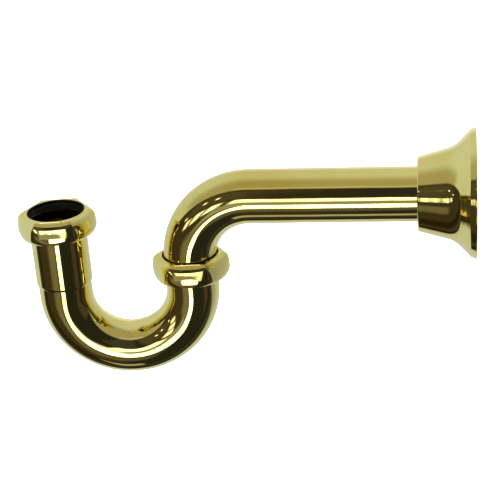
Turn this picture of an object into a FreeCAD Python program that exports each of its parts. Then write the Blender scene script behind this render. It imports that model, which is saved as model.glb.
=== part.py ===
import FreeCAD, Part
import math
import os
import re
import Sketcher

# Tubular brass P-trap for a 1-1/4 in basin waste, with a deep bell flange at the wall.
# Frame: origin where the tube's axis meets the wall, +X into the wall, +Z up.
# The trap bend hangs under the union at the room end of the wall tube.  Every slip nut has a
# 1-1/2 in right-hand thread, cut as a true helix, so each nut can wind off along its ferrule.

SIZES = {
    # Tubes
    "tube_radius": (15.875, "outside radius of 1-1/4 in tube"),
    "tube_wall": (0.9, "tube wall thickness"),
    "bend_radius": (38.1, "centre-line radius of both bends"),
    "union_to_wall": (168.0, "union axis to wall plane"),
    "union_drop": (42.5, "wall tube axis down to the union's datum plane"),
    "swivel_rest": (8.0, "degrees that the trap bend stands turned about the union"),
    "tube_setback": (0.5, "wall tube end, short of the wall plane"),
    # Heights from the union's datum plane
    "seat_height": (0.7, "top of the outlet ferrule and both ends of the trap bend"),
    "bend_depth": (14.25, "datum plane down to the trap bend's centre"),
    "union_nut_top": (6.8, "top face of the union nut"),
    "inlet_nut_top": (39.4, "top face of the inlet slip nut"),
    "collar_foot": (6.3, "datum plane down to the foot of the inlet collar"),
    # Slip nuts
    "nut_height": (13.5, "height of a slip nut"),
    "nut_radius": (23.35, "largest radius of a slip nut"),
    "nut_flats": (43.0, "across the flats"),
    "flat_overrun": (1.0, "how far the cutter for the flats stands clear of the metal"),
    "nut_hole": (16.5, "radius of the hole in the nut's web, and of the friction rings' bore"),
    "nut_web": (1.9, "thickness of the web"),
    "web_round": (0.5, "bevel round the web's hole"),
    "nut_dome_radius": (3.4, "round between web and side"),
    "nut_dome_height": (2.9, "height of that round"),
    "nut_dome_width": (2.6, "width of that round"),
    "nut_foot_radius": (7.0, "round from the side in to the foot"),
    "nut_foot_height": (5.4, "height of that round"),
    "nut_foot_width": (2.0, "width of that round"),
    "inlet_flat_turn": (0.5, "degrees that the inlet nut's flats are turned"),
    "union_flat_turn": (-3.5, "degrees that the union nut's flats are turned"),
    "wall_nut_height": (11.0, "height of the nut behind the flange"),
    "wall_nut_radius": (22.0, "largest radius of that nut"),
    "wall_nut_flats": (40.5, "across its flats"),
    "wall_nut_gap": (1.0, "foot of that nut to the wall plane"),
    # Thread
    "thread_pitch": (2.1167, "twelve turns to the inch"),
    "crest_radius": (18.9, "outside radius of the male thread"),
    "root_radius": (17.85, "radius at the bottom of the male thread"),
    "bore_crest": (18.1, "radius inside the nut's thread"),
    "bore_root": (19.15, "radius at the bottom of the nut's thread"),
    "flank_slope": (0.57735, "axial run of a thread flank per radial millimetre"),
    "flank_play": (0.25, "axial play between the two threads"),
    "thread_turns": (6, "turns of the cutter, past both ends of the longest thread"),
    "thread_overrun": (0.1, "how far the cutter stands clear of the metal"),
    "relief_radius": (19.4, "clear bore above and below the nut's thread"),
    "relief_length": (2.1, "length of the clear bore under the web"),
    "mouth_depth": (0.9, "depth of the bevel at the nut's mouth"),
    # Ferrules and collars
    "ferrule_length": (6.8, "height of the outlet ferrule"),
    "ferrule_bevel": (0.7, "lead-in at the ends of a male thread"),
    "collar_radius": (16.65, "outside radius of the inlet collar's sleeve"),
    "socket_radius": (16.05, "bore that takes the basin's tailpiece"),
    "collar_thread": (8.7, "length of the collar's threaded head"),
    "seat_bevel": (1.85, "depth and width of the washer seat in the collar's mouth"),
    "foot_bevel": (0.5, "bevel at the collar's foot"),
    "flange_ring_radius": (17.7, "outside radius of the union collar"),
    "flange_ring_height": (1.8, "thickness of the union collar"),
    # Rings and washers
    "ring_thickness": (0.5, "thickness of a friction ring"),
    "ring_radius": (17.9, "outside radius of rings and washers"),
    "ring_gap": (0.05, "gap above and below a friction ring"),
    "washer_hole": (16.2, "bore of the inlet washer"),
    "washer_head": (1.6, "thickness of a bevelled washer's head"),
    "washer_nose": (1.2, "depth of a bevelled washer's nose"),
    "flat_washer": (1.75, "thickness of the union washer"),
    # Wall flange
    "flange_depth": (33.0, "wall plane to the flange's front face"),
    "flange_wall": (1.0, "flange sheet thickness"),
    "flange_hole": (16.4, "hole in the flange's front face"),
    "neck_radius": (21.6, "radius just behind the front face"),
    "neck_round": (1.1, "width and depth of the round at the front edge"),
    "neck_curve": (1.155, "radius of that round"),
    "waist_radius": (25.9, "radius where the neck starts to flare"),
    "waist_height": (16.3, "distance of the waist from the wall"),
    "flare_curve": (15.28, "radius of the flare's curve"),
    "flare_radius": (30.21, "radius where the curve ends and a cone goes on to the lip"),
    "flare_height": (9.19, "distance of that place from the wall"),
    "lip_radius": (36.2, "radius at the front of the rim's lip"),
    "lip_height": (3.6, "width of the rim's lip"),
    "rim_radius": (37.5, "largest radius of the flange"),
    "rim_round": (0.5, "round at the rim's back edge"),
    # Grip ring inside the flange's neck
    "grip_hole": (15.95, "bore of the grip ring"),
    "grip_radius": (20.2, "outside radius of the grip ring"),
    "grip_length": (4.2, "length of the grip ring"),
    "grip_gap": (0.3, "grip ring to the flange's front wall"),
    "grip_bevel": (0.6, "bevel at the grip ring's edges"),
}

LEAST_CUT = 0.001  # mm3, the least that a cut may take away

document = FreeCAD.newDocument("p_trap")
sheet = document.addObject("Spreadsheet::Sheet", "Sizes")
for row, (alias, (number, note)) in enumerate(SIZES.items(), start=1):
    sheet.set(f"A{row}", note)
    sheet.set(f"B{row}", str(number))
    sheet.setAlias(f"B{row}", alias)
document.recompute()

ALIAS = re.compile(r"\b(" + "|".join(SIZES) + r")\b")


def sized(formula):
    """The formula with every alias written as a cell of the sheet."""
    return ALIAS.sub(r"Sizes.\1", formula)


def value(formula):
    """The formula's number, from the sheet."""
    return float(sheet.evalExpression(formula))


def bind(item, target, formula):
    item.setExpression(target, sized(formula))


def new_body(name):
    body = document.addObject("PartDesign::Body", name)
    body.Label = name
    return body


def new_sketch(body, name, role):
    """A sketch on one of the body's own origin planes."""
    sketch = body.newObject("Sketcher::SketchObject", f"{body.Name}_{name}")
    plane = next(item for item in body.Origin.OriginFeatures if item.Role == role)
    sketch.AttachmentSupport = [(plane, "")]
    sketch.MapMode = "FlatFace"
    return sketch


def arc_between(start, end, radius):
    """The short arc from start to end, its centre on the left if radius is positive."""
    chord = end - start
    middle = (start + end) * 0.5
    left = FreeCAD.Vector(-chord.y, chord.x, 0).normalize()
    rise = math.sqrt(max(radius**2 - (chord.Length / 2) ** 2, 0))
    centre = middle + left * math.copysign(rise, radius)
    first, last = (start, end) if radius > 0 else (end, start)
    angles = [math.atan2(point.y - centre.y, point.x - centre.x) for point in (first, last)]
    circle = Part.Circle(centre, FreeCAD.Vector(0, 0, 1), abs(radius))
    return Part.ArcOfCircle(circle, angles[0], angles[1])


def draw(sketch, corners, closed=True):
    """Edges through the corners, each held to the sheet.

    A corner is (across, along), or (across, along, bend) where the edge that leads to it is an
    arc of radius bend, positive when its centre lies on the left of the way.
    """
    points = [FreeCAD.Vector(value(corner[0]), value(corner[1]), 0) for corner in corners]
    previous = None
    first_start = None
    for index in range(0 if closed else 1, len(corners)):
        start, end = points[index - 1], points[index]
        bend = corners[index][2] if len(corners[index]) > 2 else None
        if bend is None:
            edge = sketch.addGeometry(Part.LineSegment(start, end))
            start_vertex, end_vertex = 1, 2
        else:
            edge = sketch.addGeometry(arc_between(start, end, value(bend)))
            start_vertex, end_vertex = (1, 2) if value(bend) > 0 else (2, 1)
            datum = sketch.addConstraint(Sketcher.Constraint("Radius", edge, abs(value(bend))))
            bind(sketch, f"Constraints[{datum}]", f"abs({bend})")
        hold(sketch, edge, end_vertex, corners[index])
        if previous is None:
            first_start = (edge, start_vertex)
        else:
            sketch.addConstraint(Sketcher.Constraint("Coincident", *previous, edge, start_vertex))
        previous = (edge, end_vertex)
    if closed:
        sketch.addConstraint(Sketcher.Constraint("Coincident", *previous, *first_start))
    else:
        hold(sketch, *first_start, corners[0])


def hold(sketch, edge, vertex, corner):
    """Ties one end of an edge to its two distances from the sketch's origin."""
    for kind, axis, formula in (("DistanceX", -2, corner[0]), ("DistanceY", -1, corner[1])):
        if formula == "0":
            sketch.addConstraint(Sketcher.Constraint("PointOnObject", edge, vertex, axis))
            continue
        rule = Sketcher.Constraint(kind, -1, 1, edge, vertex, value(formula))
        datum = sketch.addConstraint(rule)
        bind(sketch, f"Constraints[{datum}]", formula)


def revolve(name, corners):
    """A body turned about its own Z axis; across is the radius and along the height."""
    body = new_body(name)
    sketch = new_sketch(body, "outline", "XZ_Plane")
    draw(sketch, corners)
    turned = body.newObject("PartDesign::Revolution", f"{name}_turned")
    turned.Profile = sketch
    turned.ReferenceAxis = (sketch, ["V_Axis"])
    turned.Angle = 360
    document.recompute()
    return body


def require_cut(body, before):
    """Stops if the newest feature took nothing away."""
    document.recompute()
    if not body.Shape.Volume < before - LEAST_CUT:
        raise RuntimeError(f"{body.Name}: {body.Tip.Name} cut nothing")


def cut_thread(body, inner, outer, start, widest):
    """A helical groove of the thread's own section, running past both ends of the thread.

    inner and outer are the groove's radii; widest is the radius at which it is widest.
    """
    before = body.Shape.Volume
    middle = "(root_radius + bore_root) / 2"
    ridge = "(thread_pitch / 2 - flank_play) / 2"
    sign = "-" if widest == "outer" else "+"
    # A groove is a pitch less the ridge beside it; the ridge narrows towards its crest.
    half = {
        radius: f"(thread_pitch / 2 - ({ridge} {sign} (({radius}) - {middle}) * flank_slope))"
        for radius in (inner, outer)
    }
    sketch = new_sketch(body, "groove", "XZ_Plane")
    draw(
        sketch,
        [
            (inner, f"{start} - {half[inner]}"),
            (outer, f"{start} - {half[outer]}"),
            (outer, f"{start} + {half[outer]}"),
            (inner, f"{start} + {half[inner]}"),
        ],
    )
    thread = body.newObject("PartDesign::SubtractiveHelix", f"{body.Name}_thread")
    thread.Profile = sketch
    thread.ReferenceAxis = (sketch, ["V_Axis"])
    thread.Mode = 0
    bind(thread, "Pitch", "thread_pitch")
    bind(thread, "Height", "thread_pitch * thread_turns")
    thread.Angle = 0
    thread.LeftHanded = False
    thread.Reversed = False
    require_cut(body, before)


def cut_flats(body, radius, flats, turn):
    """Six wrench flats: one is cut, then repeated round the axis."""
    before = body.Shape.Volume
    sketch = new_sketch(body, "flat", "XY_Plane")
    draw(
        sketch,
        [
            (f"{flats} / 2", f"-{radius}"),
            (f"{radius} + flat_overrun", f"-{radius}"),
            (f"{radius} + flat_overrun", radius),
            (f"{flats} / 2", radius),
        ],
    )
    # The first flat faces -Y, then turns by the stated angle.
    bind(sketch, "AttachmentOffset.Rotation.Angle", f"-90 + {turn}")
    pocket = body.newObject("PartDesign::Pocket", f"{body.Name}_flat")
    pocket.Profile = sketch
    pocket.Type = "ThroughAll"
    pocket.Reversed = True
    require_cut(body, before)
    pattern = body.newObject("PartDesign::PolarPattern", f"{body.Name}_flats")
    pattern.Originals = [pocket]
    pattern.Axis = (sketch, ["N_Axis"])
    pattern.Angle = 360
    pattern.Occurrences = 6
    one_flat = body.Shape.Volume
    body.Tip = pattern
    require_cut(body, one_flat)


def slip_nut(name, height, radius, flats, turn, thread_start):
    """A domed six-sided nut, mouth down at its own Z = 0, web at the top."""
    body = revolve(
        name,
        [
            ("relief_radius", "0"),
            (f"{radius} - nut_foot_width", "0"),
            (radius, "nut_foot_height", "nut_foot_radius"),
            (radius, f"{height} - nut_dome_height"),
            (f"{radius} - nut_dome_width", height, "nut_dome_radius"),
            ("nut_hole + web_round", height),
            ("nut_hole", f"{height} - web_round"),
            ("nut_hole", f"{height} - nut_web"),
            ("relief_radius", f"{height} - nut_web"),
            ("relief_radius", f"{height} - nut_web - relief_length"),
            ("bore_crest", f"{height} - nut_web - relief_length - (relief_radius - bore_crest)"),
            ("bore_crest", "mouth_depth + (relief_radius - bore_crest)"),
            ("relief_radius", "mouth_depth"),
        ],
    )
    cut_flats(body, radius, flats, turn)
    cut_thread(body, "bore_crest - thread_overrun", "bore_root", thread_start, "inner")
    return body


def groove_in_nut(male_groove, nut_foot):
    """Start height of a nut's groove, inside the pitch below the nut's foot.

    It lies half a pitch from the groove of the thread that the nut rides on.
    """
    return f"(mod({male_groove} + thread_pitch / 2 - ({nut_foot}); thread_pitch) - thread_pitch)"


def place(body, x, y, z, turn="0", axis=(0, 0, 1)):
    """Puts a body in the frame: at x, y, z, turned about the axis."""
    rotation = FreeCAD.Rotation(FreeCAD.Vector(*axis), value(turn))
    body.Placement = FreeCAD.Placement(FreeCAD.Vector(0, 0, 0), rotation)
    for letter, formula in (("x", x), ("y", y), ("z", z)):
        bind(body, f"Placement.Base.{letter}", formula)
    bind(body, "Placement.Rotation.Angle", turn)


def place_on_trap(body, height, at_inlet=False):
    """Stands a body on the union's axis or the inlet's, turned with the trap bend."""
    reach = "2 * bend_radius" if at_inlet else "0"
    place(
        body,
        f"-union_to_wall - {reach} * cos(swivel_rest * 1 deg)",
        f"-{reach} * sin(swivel_rest * 1 deg)",
        f"-union_drop + {height}",
        "swivel_rest",
    )


def place_on_wall(body, distance):
    """Lays a body on the wall tube, its own +Z pointing away from the wall."""
    place(body, f"-({distance})", "0", "0", "90", axis=(0, -1, 0))


def draw_circle(sketch, radius):
    """A circle about the sketch's origin, its radius held to the sheet."""
    circle = Part.Circle(FreeCAD.Vector(0, 0, 0), FreeCAD.Vector(0, 0, 1), value(radius))
    edge = sketch.addGeometry(circle)
    sketch.addConstraint(Sketcher.Constraint("Coincident", edge, 3, -1, 1))
    datum = sketch.addConstraint(Sketcher.Constraint("Radius", edge, value(radius)))
    bind(sketch, f"Constraints[{datum}]", radius)


def bent_tube(name, way):
    """A round tube along a way that starts at the body's origin, square to its XY plane."""
    body = new_body(name)
    section = new_sketch(body, "section", "XY_Plane")
    draw_circle(section, "tube_radius")
    draw_circle(section, "tube_radius - tube_wall")
    spine = new_sketch(body, "centre_line", "XZ_Plane")
    draw(spine, way, closed=False)
    pipe = body.newObject("PartDesign::AdditivePipe", f"{name}_pipe")
    pipe.Profile = section
    pipe.Spine = (spine, [f"Edge{index}" for index in range(1, len(way))])
    document.recompute()
    return body


def ring(name, hole, radius, thickness):
    """A plain flat ring."""
    return revolve(name, [(hole, "0"), (radius, "0"), (radius, thickness), (hole, thickness)])


def bevelled_washer(name, hole):
    """A rubber washer, nose down: a flat head over a cone that seats in a bevelled mouth."""
    top = "washer_nose + washer_head"
    return revolve(
        name,
        [
            (hole, "0"),
            ("ring_radius - washer_nose", "0"),
            ("ring_radius", "washer_nose"),
            ("ring_radius", top),
            (hole, top),
        ],
    )


# Trap bend: a return bend with both ends level, hanging from the union.
trap_bend = bent_tube(
    "trap_bend",
    [
        ("0", "0"),
        ("0", "-(seat_height + bend_depth)"),
        ("-bend_radius", "-(seat_height + bend_depth + bend_radius)", "-bend_radius"),
        ("-2 * bend_radius", "-(seat_height + bend_depth)", "-bend_radius"),
        ("-2 * bend_radius", "0"),
    ],
)
place_on_trap(trap_bend, "seat_height")

# Inlet collar: sleeve over the bend's inlet end, socket for the tailpiece, threaded head.
collar_top = "(collar_foot + inlet_nut_top - nut_web - ring_thickness - 2 * ring_gap - washer_head)"
thread_foot = f"({collar_top} - collar_thread)"
tube_stop = "(collar_foot + seat_height)"
inlet_collar = revolve(
    "inlet_collar",
    [
        ("tube_radius", "0"),
        ("collar_radius - foot_bevel", "0"),
        ("collar_radius", "foot_bevel"),
        ("collar_radius", f"{thread_foot} - (crest_radius - collar_radius)"),
        ("crest_radius", thread_foot),
        ("crest_radius", f"{collar_top} - ferrule_bevel"),
        ("crest_radius - ferrule_bevel", collar_top),
        ("socket_radius + seat_bevel", collar_top),
        ("socket_radius", f"{collar_top} - seat_bevel"),
        ("socket_radius", tube_stop),
        ("tube_radius", tube_stop),
    ],
)
collar_groove = f"({thread_foot} - thread_pitch)"
cut_thread(
    inlet_collar, "root_radius", "crest_radius + thread_overrun", collar_groove, "outer"
)
place_on_trap(inlet_collar, "-collar_foot", at_inlet=True)

# Outlet ferrule: threaded ring brazed round the bend's outlet end.
outlet_ferrule = revolve(
    "outlet_ferrule",
    [
        ("tube_radius", "0"),
        ("crest_radius - ferrule_bevel", "0"),
        ("crest_radius", "ferrule_bevel"),
        ("crest_radius", "ferrule_length - ferrule_bevel"),
        ("crest_radius - ferrule_bevel", "ferrule_length"),
        ("tube_radius", "ferrule_length"),
    ],
)
cut_thread(
    outlet_ferrule, "root_radius", "crest_radius + thread_overrun", "-thread_pitch", "outer"
)
place_on_trap(outlet_ferrule, "seat_height - ferrule_length")

# Slip nuts: two on the trap, and one behind the flange for the building's own stub.
inlet_nut_foot = "(inlet_nut_top - nut_height)"
inlet_slip_nut = slip_nut(
    "inlet_slip_nut",
    "nut_height",
    "nut_radius",
    "nut_flats",
    "inlet_flat_turn",
    groove_in_nut(f"{collar_groove} - collar_foot", inlet_nut_foot),
)
place_on_trap(inlet_slip_nut, inlet_nut_foot, at_inlet=True)

union_nut_foot = "(union_nut_top - nut_height)"
union_nut = slip_nut(
    "union_nut",
    "nut_height",
    "nut_radius",
    "nut_flats",
    "union_flat_turn",
    groove_in_nut("(seat_height - ferrule_length - thread_pitch)", union_nut_foot),
)
place_on_trap(union_nut, union_nut_foot)

wall_slip_nut = slip_nut(
    "wall_slip_nut",
    "wall_nut_height",
    "wall_nut_radius",
    "wall_nut_flats",
    "0",
    "-thread_pitch",
)
place_on_wall(wall_slip_nut, "wall_nut_gap")

# Friction rings lie under each nut's web, so that the web turns without dragging the washer.
ring_drop = "nut_web + ring_gap + ring_thickness"
inlet_friction_ring = ring("inlet_friction_ring", "nut_hole", "ring_radius", "ring_thickness")
place_on_trap(inlet_friction_ring, f"inlet_nut_top - ({ring_drop})", at_inlet=True)
union_friction_ring = ring("union_friction_ring", "nut_hole", "ring_radius", "ring_thickness")
place_on_trap(union_friction_ring, f"union_nut_top - ({ring_drop})")
wall_friction_ring = ring("wall_friction_ring", "nut_hole", "ring_radius", "ring_thickness")
place_on_wall(wall_friction_ring, f"wall_nut_gap + wall_nut_height - ({ring_drop})")

# Washers: bevelled rubber at the inlet and the wall, flat rubber at the union.
washer_drop = f"({ring_drop} + ring_gap + washer_head + washer_nose)"
inlet_washer = bevelled_washer("inlet_washer", "washer_hole")
place_on_trap(inlet_washer, f"inlet_nut_top - {washer_drop}", at_inlet=True)
wall_washer = bevelled_washer("wall_washer", "tube_radius")
place_on_wall(wall_washer, f"wall_nut_gap + wall_nut_height - {washer_drop}")
union_washer = ring("union_washer", "tube_radius", "flange_ring_radius", "flat_washer")
place_on_trap(union_washer, "seat_height")

# Wall tube: a quarter bend out of the union, then a straight run to the wall.
union_collar_top = f"(union_nut_top - ({ring_drop}) - ring_gap)"
tube_foot = f"({union_collar_top} - flange_ring_height)"
wall_tube = bent_tube(
    "wall_tube",
    [
        ("0", "0"),
        ("0", f"union_drop - bend_radius - {tube_foot}"),
        ("bend_radius", f"union_drop - {tube_foot}", "-bend_radius"),
        ("union_to_wall - tube_setback", f"union_drop - {tube_foot}"),
    ],
)
place(wall_tube, "-union_to_wall", "0", f"{tube_foot} - union_drop")

# Union collar: a flat ring brazed on the wall tube's foot, which the union nut draws down.
union_collar = ring("union_collar", "tube_radius", "flange_ring_radius", "flange_ring_height")
place(union_collar, "-union_to_wall", "0", f"{tube_foot} - union_drop")

# Bell flange: a solid bell, hollowed from the wall side, then pierced for the tube.
box_flange = revolve(
    "box_flange",
    [
        ("0", "0"),
        ("rim_radius - rim_round", "0"),
        ("rim_radius", "rim_round"),
        ("lip_radius", "lip_height"),
        ("flare_radius", "flare_height"),
        ("waist_radius", "waist_height", "-flare_curve"),
        ("neck_radius", "flange_depth - neck_round"),
        ("neck_radius - neck_round", "flange_depth", "neck_curve"),
        ("0", "flange_depth"),
    ],
)
back_face = min(
    range(len(box_flange.Shape.Faces)),
    key=lambda index: box_flange.Shape.Faces[index].CenterOfMass.z,
)
solid_volume = box_flange.Shape.Volume
solid_bell = box_flange.Tip
shell = box_flange.newObject("PartDesign::Thickness", "box_flange_shell")
shell.Base = (solid_bell, [f"Face{back_face + 1}"])
bind(shell, "Value", "flange_wall")
shell.Reversed = True
shell.Mode = "Skin"
shell.Join = "Intersection"
require_cut(box_flange, solid_volume)
shell_volume = box_flange.Shape.Volume
hole_sketch = new_sketch(box_flange, "hole", "XY_Plane")
draw_circle(hole_sketch, "flange_hole")
tube_hole = box_flange.newObject("PartDesign::Pocket", "box_flange_hole")
tube_hole.Profile = hole_sketch
tube_hole.Type = "ThroughAll"
tube_hole.Reversed = True
require_cut(box_flange, shell_volume)
place_on_wall(box_flange, "0")

# Grip ring: rubber ring inside the flange's neck that holds the flange where it is pushed.
flange_grip_ring = revolve(
    "flange_grip_ring",
    [
        ("grip_hole", "0"),
        ("grip_radius - grip_bevel", "0"),
        ("grip_radius", "grip_bevel"),
        ("grip_radius", "grip_length - grip_bevel"),
        ("grip_radius - grip_bevel", "grip_length"),
        ("grip_hole", "grip_length"),
    ],
)
place_on_wall(flange_grip_ring, "flange_depth - flange_wall - grip_gap - grip_length")

document.recompute()
faults = [
    f"{item.Name}: {item.State}"
    for item in document.Objects
    if {"Invalid", "Error"} & set(item.State)
]
bodies = document.findObjects("PartDesign::Body")
faults += [f"{body.Name}: no sound shape" for body in bodies
           if body.Shape.isNull() or not body.Shape.isValid() or len(body.Shape.Solids) != 1]
if faults:
    raise RuntimeError("; ".join(faults))

os.makedirs("parts", exist_ok=True)
for body in bodies:
    body.Shape.exportStep(f"parts/{body.Label}.step")
    print(f"{body.Label}: {body.Shape.Volume:.1f} mm3")
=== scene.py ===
import math

import bpy
import numpy as np
from mathutils import Matrix, Vector, noise


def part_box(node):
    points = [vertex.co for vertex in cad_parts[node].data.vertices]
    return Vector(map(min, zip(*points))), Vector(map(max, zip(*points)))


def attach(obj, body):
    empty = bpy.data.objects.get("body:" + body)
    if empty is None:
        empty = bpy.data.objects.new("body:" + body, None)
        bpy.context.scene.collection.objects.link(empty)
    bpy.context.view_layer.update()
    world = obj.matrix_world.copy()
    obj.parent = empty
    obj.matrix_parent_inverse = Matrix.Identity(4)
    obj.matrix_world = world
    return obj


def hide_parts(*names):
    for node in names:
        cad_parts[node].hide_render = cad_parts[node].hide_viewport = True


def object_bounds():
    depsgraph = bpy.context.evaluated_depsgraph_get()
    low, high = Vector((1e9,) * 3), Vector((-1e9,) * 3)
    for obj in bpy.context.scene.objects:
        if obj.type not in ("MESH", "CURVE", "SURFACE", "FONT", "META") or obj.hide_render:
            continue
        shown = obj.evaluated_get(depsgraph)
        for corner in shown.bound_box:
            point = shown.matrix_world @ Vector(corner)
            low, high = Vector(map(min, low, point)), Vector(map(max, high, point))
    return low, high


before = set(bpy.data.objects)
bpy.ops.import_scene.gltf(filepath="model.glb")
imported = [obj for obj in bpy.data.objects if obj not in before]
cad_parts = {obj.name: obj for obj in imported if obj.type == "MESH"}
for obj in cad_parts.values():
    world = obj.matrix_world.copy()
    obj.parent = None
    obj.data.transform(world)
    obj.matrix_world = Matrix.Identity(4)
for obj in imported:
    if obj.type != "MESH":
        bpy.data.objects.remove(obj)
cad_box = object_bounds()

MM = 0.001
DEGREE = math.pi / 180

# ---------------------------------------------------------------- sizes the frame doesn't state
TUBE_WALL = 0.9 * MM
BEND_RADIUS = 38.1 * MM
THREAD_PITCH = 2.1167 * MM
CREST_RADIUS = 18.9 * MM          # male thread, outside
ROOT_RADIUS = 17.85 * MM          # male thread, bottom of the groove
COLLAR_THREAD = 8.7 * MM          # length of the thread on the inlet collar
BORE_CREST = 18.1 * MM            # nut thread, inside
BORE_ROOT = 19.15 * MM            # nut thread, bottom of the groove
RELIEF_RADIUS = 19.4 * MM         # clear bore above and below a nut's thread
SKIN_RADIUS = 19.5 * MM           # everything further out than this is a nut's outside
GROOVE_FLOOR = 0.28 * MM          # half width of a groove's flat floor
GROOVE_MOUTH = 0.885 * MM         # half width of a groove at its mouth
NUT_WEB = 1.9 * MM
NUT_HOLE = 16.5 * MM
EDGE_ROUND = 0.22 * MM            # every turned edge is broken by about this much


# ---------------------------------------------------------------- camera
def make_camera():
    """The viewpoint: in front, above, a little to the wall's side, held slightly off level."""
    azimuth, elevation, roll = -9.23 * DEGREE, 24.18 * DEGREE, 4.27 * DEGREE
    distance, aim = 0.820, Vector((-0.1315, -0.0027, -0.0331))
    forward = Vector((
        math.sin(azimuth) * math.cos(elevation),
        math.cos(azimuth) * math.cos(elevation),
        -math.sin(elevation),
    ))
    level_right = Vector((math.cos(azimuth), -math.sin(azimuth), 0))
    level_up = level_right.cross(forward)
    right = level_right * math.cos(roll) - level_up * math.sin(roll)
    up = level_right * math.sin(roll) + level_up * math.cos(roll)
    data = bpy.data.cameras.new("camera")
    data.lens, data.sensor_width = 100.5, 36.0
    data.clip_start, data.clip_end = 0.01, 50
    camera = bpy.data.objects.new("camera", data)
    bpy.context.scene.collection.objects.link(camera)
    axes = Matrix((right, up, -forward)).transposed().to_4x4()
    camera.matrix_world = Matrix.Translation(aim - forward * distance) @ axes
    bpy.context.scene.camera = camera


# ---------------------------------------------------------------- node helpers
class Nodes:
    """Short calls for building a node tree."""

    def __init__(self, owner):
        owner.use_nodes = True
        self.tree = owner.node_tree
        self.tree.nodes.clear()

    def add(self, kind, inputs=None, **settings):
        """A node with its settings; an input is another node's socket or a fixed value."""
        node = self.tree.nodes.new(kind)
        for key, setting in settings.items():
            setattr(node, key, setting)
        for key, source in (inputs or {}).items():
            if isinstance(source, bpy.types.NodeSocket):
                self.tree.links.new(source, node.inputs[key])
            else:
                node.inputs[key].default_value = source
        return node

    def math(self, operation, first, second):
        return self.add("ShaderNodeMath", {0: first, 1: second}, operation=operation).outputs[0]

    def times(self, first, second):
        return self.math("MULTIPLY", first, second)

    def without(self, share):
        """What is left of 1 when share is taken away."""
        return self.math("SUBTRACT", 1.0, share)

    def ramp(self, source, low, high, start=0.0, end=1.0):
        """Smooth change from start to end as source goes from low to high."""
        node = self.add(
            "ShaderNodeMapRange",
            {"Value": source, "From Min": low, "From Max": high, "To Min": start, "To Max": end},
            interpolation_type="SMOOTHSTEP",
        )
        return node.outputs[0]

    def mix(self, factor, first, second):
        """A colour between first and second."""
        inputs = {0: factor, 6: first, 7: second}
        return self.add("ShaderNodeMix", inputs, data_type="RGBA").outputs[2]

    def place(self):
        return self.add("ShaderNodeTexCoord").outputs["Object"]

    def noise(self, vector, scale, detail=2.0, roughness=0.5):
        node = self.add(
            "ShaderNodeTexNoise",
            {"Vector": vector, "Scale": scale, "Detail": detail, "Roughness": roughness},
        )
        return node.outputs[0]

    def stretched(self, vector, scale):
        node = self.add("ShaderNodeVectorMath", {0: vector, 1: scale}, operation="MULTIPLY")
        return node.outputs[0]

    def bump(self, strength, distance, height):
        inputs = {"Strength": strength, "Distance": distance, "Height": height}
        return self.add("ShaderNodeBump", inputs).outputs[0]

    def surface(self, inputs):
        """The material's shader, joined to its output."""
        shader = self.add("ShaderNodeBsdfPrincipled", inputs)
        self.add("ShaderNodeOutputMaterial", {"Surface": shader.outputs[0]})


def colour(red, green, blue):
    return (red, green, blue, 1.0)


# ---------------------------------------------------------------- materials
def polished_brass(name):
    """Mirror-polished brass: faint cloudiness, hairline scratches and a slow drift of tone."""
    bright, deep = colour(0.87, 0.755, 0.275), colour(0.80, 0.665, 0.20)
    tarnish = colour(0.45, 0.33, 0.12)
    material = bpy.data.materials.new(name)
    nodes = Nodes(material)
    place = nodes.place()
    drift = nodes.noise(place, 22.0, 3.0)
    smudge = nodes.noise(place, 95.0, 4.0, 0.6)
    speck = nodes.noise(place, 900.0, 2.0, 0.5)
    metal = nodes.mix(nodes.ramp(drift, 0.35, 0.7), bright, deep)
    metal = nodes.mix(nodes.ramp(speck, 0.66, 0.8, 0.0, 0.25), metal, tarnish)
    hair = nodes.noise(nodes.stretched(place, (1.0, 9.0, 9.0)), 620.0, 3.0, 0.7)
    cross = nodes.noise(nodes.stretched(place, (7.0, 7.0, 1.0)), 480.0, 3.0, 0.7)
    lines = nodes.math("ADD", nodes.ramp(hair, 0.62, 0.7), nodes.ramp(cross, 0.64, 0.72))
    gloss = nodes.ramp(smudge, 0.35, 0.75, 0.035, 0.085)
    nodes.surface({
        "Base Color": metal,
        "Roughness": nodes.math("ADD", gloss, nodes.times(lines, 0.03)),
        "Normal": nodes.bump(0.05, 0.02 * MM, nodes.math("ADD", lines, smudge)),
        "Metallic": 1.0,
    })
    return material


def dull_brass(name, clean, stained, rough, lines_axis=None):
    """Unpolished brass: mottled by oxide, with turning lines across an axis where asked."""
    material = bpy.data.materials.new(name)
    nodes = Nodes(material)
    place = nodes.place()
    mottle = nodes.noise(place, 160.0, 5.0, 0.65)
    height = nodes.noise(place, 2600.0, 2.0, 0.5)
    if lines_axis is not None:
        stretch = [60.0, 60.0, 60.0]
        stretch[lines_axis] = 5200.0
        lines = nodes.noise(nodes.stretched(place, tuple(stretch)), 1.0, 2.0, 0.6)
        height = nodes.math("ADD", height, nodes.times(lines, 2.0))
    nodes.surface({
        "Base Color": nodes.mix(nodes.ramp(mottle, 0.38, 0.66), clean, stained),
        "Roughness": nodes.ramp(mottle, 0.3, 0.7, rough - 0.1, rough + 0.15),
        "Normal": nodes.bump(0.25, 0.04 * MM, height),
        "Metallic": 1.0,
    })
    return material


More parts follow.
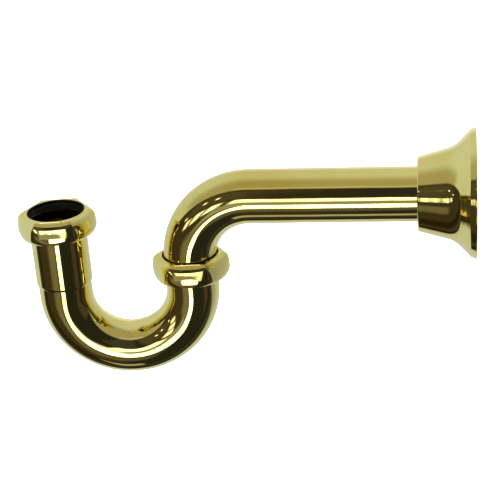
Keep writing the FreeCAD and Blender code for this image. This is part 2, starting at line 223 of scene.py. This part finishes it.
def black_rubber(name):
    """Matt moulded rubber with a dusty bloom."""
    clean, dusty = colour(0.012, 0.012, 0.013), colour(0.035, 0.034, 0.034)
    material = bpy.data.materials.new(name)
    nodes = Nodes(material)
    place = nodes.place()
    bloom = nodes.noise(place, 260.0, 4.0, 0.6)
    grain = nodes.noise(place, 3800.0, 2.0, 0.5)
    nodes.surface({
        "Base Color": nodes.mix(nodes.ramp(bloom, 0.4, 0.75), clean, dusty),
        "Roughness": nodes.ramp(bloom, 0.3, 0.8, 0.5, 0.72),
        "Normal": nodes.bump(0.3, 0.06 * MM, grain),
        "Specular IOR Level": 0.25,
    })
    return material


# ---------------------------------------------------------------- outlines
def arc_points(start, end, bend, count=24):
    """Points after start up to end on an arc of radius bend, centre on the left if positive."""
    start, end = np.array(start, float), np.array(end, float)
    chord = end - start
    length = np.hypot(*chord)
    left = np.array((-chord[1], chord[0])) / length
    rise = math.sqrt(max(bend**2 - length**2 / 4, 0.0)) * math.copysign(1, bend)
    centre = (start + end) / 2 + left * rise
    first, last = (math.atan2(*(point - centre)[::-1]) for point in (start, end))
    sweep = (last - first) % (2 * math.pi)
    if bend < 0:
        sweep -= 2 * math.pi
    angles = first + sweep * np.linspace(0, 1, count + 1)[1:]
    return [centre + abs(bend) * np.array((math.cos(a), math.sin(a))) for a in angles]


def simplified(points, tolerance):
    """The points of an open run that matter at that tolerance."""
    keep = np.zeros(len(points), bool)
    keep[[0, -1]] = True
    stack = [(0, len(points) - 1)]
    while stack:
        low, high = stack.pop()
        if high - low < 2:
            continue
        chord = points[high] - points[low]
        offsets = points[low + 1 : high] - points[low]
        length = np.hypot(*chord)
        if length > 0:
            distances = np.abs(offsets[:, 0] * chord[1] - offsets[:, 1] * chord[0]) / length
        else:
            distances = np.hypot(*offsets.T)
        worst = int(distances.argmax())
        if distances[worst] > tolerance:
            middle = low + 1 + worst
            keep[middle] = True
            stack += [(low, middle), (middle, high)]
    return points[keep]


def blurred(loop, rounding):
    """Evenly spaced points round a closed loop, smoothed so that its corners are rounded."""
    travelled = np.concatenate(([0], np.cumsum(np.hypot(*np.diff(loop, axis=0).T))))
    count = int(travelled[-1] / (rounding / 3))
    places = np.linspace(0, travelled[-1], count, endpoint=False)
    dense = np.stack([np.interp(places, travelled, loop[:, k]) for k in (0, 1)], axis=1)
    spread = rounding / 2 / (travelled[-1] / count)
    steps = np.arange(count)
    kernel = np.exp(-0.5 * (np.minimum(steps, count - steps) / spread) ** 2)
    kernel /= kernel.sum()
    turned = np.fft.rfft(kernel)[:, None]
    return np.fft.irfft(np.fft.rfft(dense, axis=0) * turned, count, axis=0)


def outline(corners, longest, rounding=EDGE_ROUND, fine=None):
    """A closed outline of (radius, along) points through the corners, its sharp edges broken.

    A corner is (radius, along) or (radius, along, bend). longest is the longest step between
    points; fine is (low, high, step) for a stretch of along that needs a shorter one.
    """
    points = []
    for index, corner in enumerate(corners):
        if len(corner) > 2:
            points += arc_points(corners[index - 1][:2], corner[:2], corner[2])
        else:
            points.append(np.array(corner[:2], float))
    dense = blurred(np.array(points + points[:1]), rounding)
    kept = simplified(np.vstack((dense, dense[:1])), 0.004 * MM)
    result = []
    for start, end in zip(kept[:-1], kept[1:]):
        step = longest
        middle = (start[1] + end[1]) / 2
        if fine and fine[0] < middle < fine[1]:
            step = fine[2]
        pieces = max(1, math.ceil(np.hypot(*(end - start)) / step))
        result += [start + (end - start) * k / pieces for k in range(pieces)]
    return np.array(result)


# ---------------------------------------------------------------- meshes
def straight_way(centre, heading, across):
    """A way along heading; returns a function from distances to (centres, axes)."""
    heading, across = np.array(heading, float), np.array(across, float)
    side = np.cross(heading, across)

    def way(along):
        centres = np.array(centre)[None] + along[:, None] * heading[None]
        return centres, np.tile(across, (len(along), 1)), np.tile(side, (len(along), 1))

    return way


def bent_way(start, heading, side, lead, radius, sweep):
    """A way that runs straight for lead, turns through sweep towards side, then runs straight."""
    start, heading, side = (np.array(v, float) for v in (start, heading, side))
    flat = np.cross(heading, side)
    turn_length = radius * sweep

    def way(along):
        angle = np.clip((along - lead) / radius, 0, sweep)
        straight = np.where(along < lead, along - lead, np.maximum(along - lead - turn_length, 0))
        ahead = np.cos(angle)[:, None] * heading + np.sin(angle)[:, None] * side
        inward = -np.sin(angle)[:, None] * heading + np.cos(angle)[:, None] * side
        centres = start + lead * heading + radius * (side - inward) + straight[:, None] * ahead
        return centres, inward, np.tile(flat, (len(along), 1))

    return way


def signed_volume(points, quads):
    """The volume inside the faces, negative if they face inwards."""
    corners = points.reshape(-1, 3)[quads]
    first = np.einsum("ij,ij->i", corners[:, 0], np.cross(corners[:, 1], corners[:, 2]))
    second = np.einsum("ij,ij->i", corners[:, 0], np.cross(corners[:, 2], corners[:, 3]))
    return (first.sum() + second.sum()) / 6


def turned_piece(name, profile, way, columns, materials, shape, inner):
    """A mesh whose closed profile of (radius, along) is carried round a way.

    shape(radius, along, angle) gives the final radius; inner(radius, along) says which faces
    take the second material.
    """
    rows = len(profile)
    angles = np.arange(columns) * 2 * math.pi / columns
    turn = np.repeat(angles[None], rows, axis=0)
    radius = np.repeat(profile[:, :1], columns, axis=1)
    along = np.repeat(profile[:, 1:], columns, axis=1)
    radius = shape(radius, along, turn)
    centres, across, side = way(profile[:, 1])
    points = (
        centres[:, None]
        + (radius * np.cos(turn))[..., None] * across[:, None]
        + (radius * np.sin(turn))[..., None] * side[:, None]
    )
    index = np.arange(rows * columns).reshape(rows, columns)
    after_row, after_column = np.roll(index, -1, 0), np.roll(index, -1, 1)
    both = np.roll(after_row, -1, 1)
    quads = np.stack((index, after_row, both, after_column), axis=-1).reshape(-1, 4)
    mesh = bpy.data.meshes.new(name)
    mesh.vertices.add(rows * columns)
    mesh.vertices.foreach_set("co", points.astype(np.float32).ravel())
    mesh.loops.add(len(quads) * 4)
    mesh.loops.foreach_set("vertex_index", quads.astype(np.int32).ravel())
    mesh.polygons.add(len(quads))
    mesh.polygons.foreach_set("loop_start", np.arange(0, len(quads) * 4, 4, dtype=np.int32))
    for material in materials:
        mesh.materials.append(material)
    halfway = (profile + np.roll(profile, -1, 0)) / 2
    slots = np.repeat(inner(halfway[:, 0], halfway[:, 1]), columns).astype(np.int32)
    mesh.polygons.foreach_set("material_index", slots)
    mesh.polygons.foreach_set("use_smooth", np.ones(len(quads), bool))
    mesh.update(calc_edges=True)
    if signed_volume(points, quads) < 0:
        mesh.flip_normals()
    piece = bpy.data.objects.new(name, mesh)
    bpy.context.scene.collection.objects.link(piece)
    return piece


def ripple(seed, height, length, inner_gain=0.0):
    """Slow waves left by forming and polishing, never outside the true surface.

    inner_gain deepens them on the side that a bend pinches, where the angle is 0.
    """

    def shape(radius, along, turn):
        result = radius.copy()
        for row in range(radius.shape[0]):
            for column in range(radius.shape[1]):
                angle = turn[row, column]
                spot = Vector((
                    along[row, column] / length,
                    radius[row, column] * math.cos(angle) / length + seed,
                    radius[row, column] * math.sin(angle) / length,
                ))
                depth = height * (1 + inner_gain * max(0.0, math.cos(angle)) ** 2)
                result[row, column] -= depth * (0.5 + 0.5 * noise.noise(spot))
        return result

    return shape


def groove_rise(height):
    """How far up its flanks a groove has come, 0 on its floor and 1 at its mouth."""
    offset = np.abs((height + THREAD_PITCH / 2) % THREAD_PITCH - THREAD_PITCH / 2)
    return np.clip((offset - GROOVE_FLOOR) / (GROOVE_MOUTH - GROOVE_FLOOR), 0, 1)


def male_thread(start):
    """Cuts a right-hand thread wherever the profile stands above its root."""

    def shape(radius, along, turn):
        rise = groove_rise(along - start - THREAD_PITCH * turn / (2 * math.pi))
        thread = ROOT_RADIUS + (CREST_RADIUS - ROOT_RADIUS) * rise
        return np.where(radius > ROOT_RADIUS, np.minimum(radius, thread), radius)

    return shape


def nut_shape(start, foot, height, top_edge, flats, flat_angle):
    """Cuts a nut's thread in its bore and six crowned flats that roll over into its top.

    top_edge is the radius where the turned top face ends; outside it the flats decide.
    """
    sixth = math.pi / 3
    sharpness = 0.45 * MM                         # how softly two surfaces meet
    crown_across, crown_up = 87 * MM, 26 * MM     # radii of a flat's crown
    crown_height = 3.2 * MM                       # where a flat is furthest out
    roll_height, roll = height - 4.0 * MM, 5.4 * MM
    steepest = 0.93                               # sine of the roll's last slope
    reach, hole_edge = flats / 2 + 0.2 * MM, NUT_HOLE + 0.5 * MM
    top_face = height - 0.15 * MM
    lean = (roll_height - crown_height) / crown_up

    def meet(first, second):
        """The smaller of two radii, rounded where they cross."""
        return -sharpness * np.logaddexp(-first / sharpness, -second / sharpness)

    def shape(radius, along, turn):
        rise = groove_rise(along - start - THREAD_PITCH * turn / (2 * math.pi))
        thread = BORE_ROOT - (BORE_ROOT - BORE_CREST) * rise
        bore = (radius > BORE_CREST - 0.3 * MM) & (radius < SKIN_RADIUS)
        bored = np.where(bore, np.maximum(radius, thread), radius)
        slant = (turn - flat_angle + sixth / 2) % sixth - sixth / 2
        spread = np.tan(slant) / math.tan(sixth / 2)
        up = along - foot
        crown = (np.minimum(up, roll_height) - crown_height) ** 2 / (2 * crown_up)
        sine = np.clip(lean + np.maximum(up - roll_height, 0) / roll, 0, steepest)
        over = np.where(up > roll_height, roll * (math.cos(lean) - np.sqrt(1 - sine**2)), 0)
        distance = reach - (reach * np.tan(slant)) ** 2 / (2 * crown_across)
        face = (distance - crown - over * (1 - 0.4 * spread**2)) / np.cos(slant)
        share = np.clip((radius - hole_edge) / (top_edge - hole_edge), 0, 1)
        squeezed = hole_edge + share * (meet(top_edge, face) - hole_edge)
        on_top = (up > top_face) & (radius > hole_edge) & (radius < top_edge)
        outer = np.where(on_top, squeezed, meet(radius, face))
        return np.where((radius > SKIN_RADIUS) | on_top, outer, bored)

    return shape


# ---------------------------------------------------------------- pieces
def middle(node):
    low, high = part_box(node)
    return (low + high) / 2


UNION_AXIS = middle("union_collar")
INLET_AXIS = middle("inlet_friction_ring")
TUBE_RADIUS = (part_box("wall_tube")[1].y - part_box("wall_tube")[0].y) / 2
TRAP_ACROSS = (UNION_AXIS - INLET_AXIS).normalized()
TRAP_ACROSS.z = 0
TRAP_ACROSS.normalize()


def upright(centre):
    """A way straight up an axis; along is the height in the frame."""
    return straight_way((centre.x, centre.y, 0), (0, 0, 1), TRAP_ACROSS)


def on_wall():
    """A way along the wall tube; along is the distance from the wall."""
    return straight_way((0, 0, 0), (-1, 0, 0), (0, 0, 1))


def settle(piece, node, body):
    """The piece stands for a CAD node of the frame."""
    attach(piece, body)
    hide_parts(node)


def make_tube(node, body, way, length, seed, materials):
    """A thin tube along a way, its wall slightly wavy."""
    bore = TUBE_RADIUS - TUBE_WALL
    corners = [(bore, 0), (TUBE_RADIUS, 0), (TUBE_RADIUS, length), (bore, length)]
    piece = turned_piece(
        f"{node}_polished",
        outline(corners, longest=1.2 * MM),
        way,
        144,
        materials,
        ripple(seed, height=0.07 * MM, length=12 * MM, inner_gain=1.5),
        lambda radius, along: radius < TUBE_RADIUS - 0.1 * MM,
    )
    settle(piece, node, body)


def make_trap_bend(materials):
    low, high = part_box("trap_bend")
    lead = high.z - (low.z + TUBE_RADIUS + BEND_RADIUS)
    start = (INLET_AXIS.x, INLET_AXIS.y, high.z)
    way = bent_way(start, (0, 0, -1), TRAP_ACROSS, lead, BEND_RADIUS, math.pi)
    make_tube("trap_bend", "trap", way, 2 * lead + math.pi * BEND_RADIUS, 3.0, materials)


def make_wall_tube(materials):
    low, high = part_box("wall_tube")
    lead = high.z - TUBE_RADIUS - BEND_RADIUS - low.z
    run = high.x - UNION_AXIS.x - BEND_RADIUS
    quarter = math.pi / 2
    start = (UNION_AXIS.x, UNION_AXIS.y, low.z)
    way = bent_way(start, (0, 0, 1), (1, 0, 0), lead, BEND_RADIUS, quarter)
    length = lead + quarter * BEND_RADIUS + run
    make_tube("wall_tube", "wall_run", way, length, 8.0, materials)


def make_inlet_collar(materials):
    """Sleeve over the bend's end, with a threaded head and a bevelled seat for the washer."""
    sleeve, socket, fit = 16.65 * MM, 16.05 * MM, TUBE_RADIUS + 0.02 * MM
    bevel, seat = 0.7 * MM, 1.85 * MM
    foot_bevel, foot_length = 0.45 * MM, 1.5 * MM
    low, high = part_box("inlet_collar")
    tube_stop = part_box("trap_bend")[1].z
    thread_foot = high.z - COLLAR_THREAD
    profile = outline(
        [
            (fit, low.z),
            (sleeve - foot_bevel, low.z),
            (sleeve, low.z + foot_length),
            (sleeve, thread_foot - (CREST_RADIUS - sleeve)),
            (CREST_RADIUS, thread_foot),
            (CREST_RADIUS, high.z - bevel),
            (CREST_RADIUS - bevel, high.z),
            (socket + seat, high.z),
            (socket, high.z - seat),
            (socket, tube_stop),
            (fit, tube_stop),
        ],
        longest=1.2 * MM,
        rounding=0.16 * MM,
        fine=(thread_foot - 2 * MM, high.z, 0.16 * MM),
    )
    piece = turned_piece(
        "inlet_collar_polished",
        profile,
        upright(INLET_AXIS),
        192,
        materials,
        male_thread(thread_foot),
        lambda radius, along: radius < socket + seat + 0.1 * MM - (high.z - along),
    )
    settle(piece, "inlet_collar", "trap")


def make_slip_nut(node, body, way, foot, top, radius, flats, turn, male_groove, materials):
    """A domed six-sided slip nut with its thread, mouth at foot and web at top.

    radius is out to its corners, flats the distance between opposite flats, turn the angle it
    stands at, and male_groove a place along the way where a groove of its mate starts.
    """
    height = top - foot
    dome_bend, dome_height, dome_width = 3.4 * MM, 2.9 * MM, 2.6 * MM
    foot_bend, foot_height, foot_width = 7.0 * MM, 5.4 * MM, 2.0 * MM
    web_round, relief, mouth = 0.5 * MM, 2.1 * MM, 0.9 * MM
    top_edge = radius - dome_width
    web_foot = height - NUT_WEB
    step = RELIEF_RADIUS - BORE_CREST
    profile = outline(
        [
            (RELIEF_RADIUS, 0),
            (radius - foot_width, 0),
            (radius, foot_height, foot_bend),
            (radius, height - dome_height),
            (top_edge, height, dome_bend),
            (NUT_HOLE + web_round, height),
            (NUT_HOLE, height - web_round),
            (NUT_HOLE, web_foot),
            (RELIEF_RADIUS, web_foot),
            (RELIEF_RADIUS, web_foot - relief),
            (BORE_CREST, web_foot - relief - step),
            (BORE_CREST, mouth + step),
            (RELIEF_RADIUS, mouth),
        ],
        longest=0.5 * MM,
    )
    profile[:, 1] += foot
    groove = male_groove + THREAD_PITCH / 2
    cut = nut_shape(groove, foot, height, top_edge, flats, turn - math.pi / 2)
    dents = ripple(foot / MM, height=0.09 * MM, length=3.6 * MM)

    def shape(radius, along, angle):
        formed = cut(radius, along, angle)
        return np.where(radius > SKIN_RADIUS, dents(formed, along, angle), formed)

    def inside(radius, along):
        return (radius < RELIEF_RADIUS + 0.05 * MM) & (along < top - 0.1 * MM)

    piece = turned_piece(f"{node}_body", profile, way, 288, materials, shape, inside)
    settle(piece, node, body)


def make_trap_nuts(materials):
    """The two alike nuts that show, on the inlet and on the union."""
    corners, flats = 23.35 * MM, 43.0 * MM
    collar_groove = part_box("inlet_collar")[1].z - COLLAR_THREAD
    ferrule_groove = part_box("outlet_ferrule")[0].z
    for node, body, axis, turn, groove in (
        ("inlet_slip_nut", "inlet_nut", INLET_AXIS, 0.5 * DEGREE, collar_groove),
        ("union_nut", "union_nut", UNION_AXIS, -3.5 * DEGREE, ferrule_groove),
    ):
        low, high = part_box(node)
        make_slip_nut(
            node, body, upright(axis), low.z, high.z, corners, flats, turn, groove, materials
        )


def make_wall_nut(materials):
    """The smaller nut that the flange hides, its mouth towards the wall."""
    node, corners, flats = "wall_slip_nut", 22.0 * MM, 40.5 * MM
    low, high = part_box(node)
    make_slip_nut(
        node, "wall_nut", on_wall(), -high.x, -low.x, corners, flats, 0.0, -high.x, materials
    )


def inward(corner, first, second, sheet):
    """Where the inside of a sheet turns the corner between outward directions first and second."""
    aim = (first + second) / 2
    reach = sheet / math.cos((first - second) / 2)
    return (corner[0] - reach * math.cos(aim), corner[1] - reach * math.sin(aim))


def make_box_flange(materials):
    """A spun bell, open at the wall, pierced for the tube at its front."""
    sheet, hole, depth = 1.0 * MM, 16.4 * MM, 33.0 * MM
    neck, neck_round = 21.6 * MM, 1.1 * MM
    waist, flare, lip = (25.9 * MM, 16.3 * MM), (30.21 * MM, 9.19 * MM), (36.2 * MM, 3.6 * MM)
    flare_curve, rim, rim_round = 15.28 * MM, 37.5 * MM, 0.5 * MM
    cone_lean = math.atan2(waist[0] - neck, depth - neck_round - waist[1])
    flare_lean = math.atan2(lip[0] - flare[0], flare[1] - lip[1])
    rim_lean = math.atan2(rim - lip[0], lip[1] - rim_round)
    profile = outline(
        [
            (rim - rim_round, 0),
            (rim, rim_round),
            lip,
            flare,
            (*waist, -flare_curve),
            (neck, depth - neck_round),
            (neck - neck_round, depth, neck_round * 1.05),
            (hole, depth),
            (hole, depth - sheet),
            (neck - sheet, depth - sheet),
            inward(waist, cone_lean, cone_lean, sheet),
            (*inward(flare, flare_lean, flare_lean, sheet), flare_curve + sheet),
            inward(lip, flare_lean, rim_lean, sheet),
            inward((rim, rim_round), rim_lean, -math.pi / 4, sheet),
            (rim - rim_round - math.sqrt(2) * sheet, 0),
        ],
        longest=1.0 * MM,
    )

    def spun(radius, along, turn):
        """Shallow rings left by the spinning tool."""
        ring_depth, coarse, fine = 0.006 * MM, 0.9 * MM, 0.37 * MM
        wave = np.sin(along / coarse) + 0.6 * np.sin(along / fine + 1.3)
        return radius - ring_depth * (1 + wave) * (along < depth - 1.5 * MM)

    def inside(radius, along):
        heights = (0, lip[1], flare[1], waist[1], depth)
        skin = np.interp(along, heights, (rim, lip[0], flare[0], waist[0], neck))
        return (radius < skin - 0.75 * sheet) & (along < depth - 0.3 * sheet)

    piece = turned_piece("box_flange_spun", profile, on_wall(), 256, materials, spun, inside)
    settle(piece, "box_flange", "flange")


# ---------------------------------------------------------------- light and floor
def make_world():
    """A white backdrop and ceiling behind and above, a dark room with soft lamps in front.

    Directions are told by pitch, up from straight ahead of the part, and by azimuth, towards
    the wall; both in degrees.
    """
    white = colour(1, 1, 1)
    world = bpy.data.worlds.new("studio")
    bpy.context.scene.world = world
    nodes = Nodes(world)
    direction = nodes.add("ShaderNodeTexCoord").outputs["Generated"]
    split = nodes.add("ShaderNodeSeparateXYZ", {0: direction}).outputs
    toward = nodes.times(split["Y"], -1.0)
    azimuth = nodes.math("ARCTAN2", split["X"], toward)
    pitch = nodes.math("ARCTAN2", split["Z"], toward)
    lights = []

    def band(source, low, high, soft):
        """1 between two angles, fading to 0 outside them."""
        rise = nodes.ramp(source, (low - soft) * DEGREE, (low + soft) * DEGREE)
        fall = nodes.ramp(source, (high - soft) * DEGREE, (high + soft) * DEGREE, 1.0, 0.0)
        return nodes.times(rise, fall)

    def light(tint, strength, reach):
        power = nodes.times(reach, strength)
        lights.append(nodes.add("ShaderNodeBackground", {"Color": tint, "Strength": power}))

    def lamp(pitches, azimuths, strength, tint=white, soft=2.0, side_soft=3.0):
        """A soft-edged patch of light."""
        across = band(azimuth, *azimuths, side_soft)
        light(tint, strength, nodes.times(band(pitch, *pitches, soft), across))

    # Behind and above: a backdrop that dims towards the wall's side, and a warm ceiling.
    behind = nodes.without(band(pitch, -105, 49.5, 3.0))
    above = nodes.ramp(split["Z"], 0.2, 0.5)
    ceiling = nodes.times(above, nodes.ramp(toward, -0.35, 0.22))
    backdrop = nodes.times(nodes.without(ceiling), behind)
    horizon = nodes.times(backdrop, nodes.ramp(split["Y"], 0.86, 0.99))
    wall_side = nodes.math("GREATER_THAN", azimuth, 0.0)
    far_side = nodes.times(wall_side, nodes.ramp(azimuth, 145 * DEGREE, 100 * DEGREE))
    backdrop = nodes.times(backdrop, nodes.without(nodes.times(far_side, 0.45)))
    low_backdrop = nodes.times(backdrop, nodes.ramp(split["Z"], -0.35, 0.05, 1.0, 0.0))
    high_backdrop = nodes.math("SUBTRACT", backdrop, low_backdrop)
    left_behind = nodes.times(behind, nodes.ramp(split["X"], -0.75, -0.3, 1.0, 0.0))
    light(colour(0.94, 1.0, 1.0), 0.645, high_backdrop)
    light(colour(0.92, 0.99, 1.10), 0.64, low_backdrop)
    light(white, 0.25, horizon)
    light(colour(1.0, 0.93, 0.62), 0.38, nodes.times(ceiling, behind))
    light(colour(0, 0.5, 1.0), 0.09, left_behind)
    lamp((50, 57), (-30, 30), 0.16, soft=1.5)

    # The room in front: warmer and a little lighter on its left, and dim below.
    right = nodes.ramp(azimuth, -14 * DEGREE, -1 * DEGREE)
    under = nodes.without(nodes.times(band(pitch, -112, -62, 5.0), 0.6))
    light(colour(1.0, 0.80, 0.45), 0.052, nodes.times(nodes.without(right), under))
    light(white, 0.022, right)
    lamp((14, 44), (-60, -9), 0.03, soft=5.0)
    lamp((12, 50), (-1, 30), 0.03, soft=3.0)
    lamp((-60, -2), (58, 104), 0.05, colour(1.0, 0.6, 0.5), 6.0, 5.0)

    # A row of windows straight ahead, a glow below them and a brighter strip at its side.
    windows = (((-14, 12), 2.7), ((-27, -20), 2.4), ((-39, -31), 2.2), ((-52, -44), 1.6))
    for azimuths, strength in windows:
        lamp((-3.5, 8), azimuths, strength, side_soft=2.0)
    lamp((-18, -4), (-20, 10), 0.28)
    lamp((-20, -3), (6, 13), 1.3)

    # Small spots above the windows.
    spots = (((27.5, 31), (-33, -30)), ((27.5, 31), (-45, -42)), ((15, 18), (-60, -56)))
    for pitches, azimuths in spots:
        lamp(pitches, azimuths, 3.0, soft=0.7, side_soft=0.8)

    # Pale patches of the room's floor, from some way ahead to right under the part.
    lamp((-48, -33), (-26, 6), 0.09, soft=5.0)
    lamp((-36, -16), (-36, -8), 0.15, colour(1, 0.95, 0.85), 4.0, 9.0)
    lamp((-78, -67), (-40, -1), 0.42)
    lamp((-112, -84), (-100, 100), 0.035, soft=6.0)

    studio = lights[0].outputs[0]
    for extra in lights[1:]:
        studio = nodes.add("ShaderNodeAddShader", {0: studio, 1: extra.outputs[0]}).outputs[0]
    plain = nodes.add("ShaderNodeBackground", {"Color": white})
    seen = nodes.add("ShaderNodeLightPath").outputs["Is Camera Ray"]
    both = nodes.add("ShaderNodeMixShader", {0: seen, 1: studio, 2: plain.outputs[0]})
    nodes.add("ShaderNodeOutputWorld", {"Surface": both.outputs[0]})


def make_floor():
    """A plain pale floor well below the part, which hangs from a wall."""
    drop = 0.32
    bpy.ops.mesh.primitive_circle_add(
        vertices=96, radius=14.0, fill_type="NGON", location=(0, 0, cad_box[0].z - drop)
    )
    floor = bpy.context.object
    floor.name = "floor"
    material = bpy.data.materials.new("pale_floor")
    nodes = Nodes(material)
    cloud = nodes.noise(nodes.place(), 1.3, 3.0)
    nodes.surface({
        "Base Color": nodes.mix(cloud, colour(0.90, 0.90, 0.90), colour(0.94, 0.94, 0.94)),
        "Roughness": 0.9,
        "Emission Color": colour(1, 1, 1),
        "Emission Strength": 0.75,
    })
    floor.data.materials.append(material)
    floor.visible_glossy = False


def make_softbox():
    """A wide lamp overhead that polished metal doesn't mirror."""
    data = bpy.data.lights.new("softbox", "AREA")
    data.shape, data.size, data.energy = "DISK", 2.5, 90
    softbox = bpy.data.objects.new("softbox", data)
    softbox.location = (0, 0, 2.2)
    softbox.visible_glossy = False
    bpy.context.scene.collection.objects.link(softbox)


def make_front_panel():
    """A low bright panel near the part, whose reflection shifts along it from leg to leg."""
    distance, turn, drop = 1.15, 3.0 * DEGREE, 25.5 * DEGREE
    width, height, radiance = 0.27, 0.32, 3.6
    ahead = Vector((
        math.sin(turn) * math.cos(drop),
        -math.cos(turn) * math.cos(drop),
        -math.sin(drop),
    ))
    data = bpy.data.lights.new("front_panel", "AREA")
    data.shape, data.size, data.size_y = "RECTANGLE", width, height
    data.energy = radiance * math.pi * width * height
    panel = bpy.data.objects.new("front_panel", data)
    panel.location = Vector((INLET_AXIS.x, INLET_AXIS.y, 0)) + distance * ahead
    panel.rotation_euler = (-ahead).to_track_quat("-Z", "Y").to_euler()
    panel.visible_camera = False
    bpy.context.scene.collection.objects.link(panel)


def finish_hidden_nodes(turned, stamped_and_shaded, rubber):
    """Materials for the pieces that keep their CAD shape."""
    for material, names in (
        (turned, ("outlet_ferrule", "union_collar")),
        # The friction rings take the darkened ring brass; its darkness is partly painted shade.
        (stamped_and_shaded, ("inlet_friction_ring", "union_friction_ring", "wall_friction_ring")),
        (rubber, ("inlet_washer", "union_washer", "wall_washer", "flange_grip_ring")),
    ):
        for name in names:
            for material_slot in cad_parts[name].material_slots:
                material_slot.material = material


# ---------------------------------------------------------------- the scene
make_camera()
bpy.context.scene.view_settings.view_transform = "Standard"
bpy.context.scene.view_settings.look = "None"

polish = polished_brass("polished_brass")
# The bore brass is unpolished oxidised brass, darkened to near black as painted shade inside the
# tubes, the collar and the nuts.
bore = dull_brass("bore_brass_painted_shade", colour(0.07, 0.06, 0.045), colour(0.025, 0.022, 0.018), 0.4)
turned = dull_brass("turned_brass", colour(0.80, 0.64, 0.26), colour(0.66, 0.51, 0.20), 0.3, 2)
# The friction rings are dull stamped brass, darkened as painted shade where a ring shows inside a
# nut's mouth.
stamped_and_shaded = dull_brass("ring_brass", colour(0.30, 0.23, 0.12), colour(0.16, 0.12, 0.07), 0.4)
lining = dull_brass("lining_brass", colour(0.56, 0.43, 0.21), colour(0.34, 0.25, 0.12), 0.4)
rubber = black_rubber("black_rubber")

# The inside faces of these pieces take the bore brass, whose near-black colour is painted shade.
make_trap_bend((polish, bore))
make_wall_tube((polish, bore))
make_inlet_collar((polish, bore))
make_trap_nuts((polish, bore))
make_wall_nut((polish, bore))
make_box_flange((polish, lining))
finish_hidden_nodes(turned, stamped_and_shaded, rubber)
make_world()
make_floor()
make_softbox()
make_front_panel()
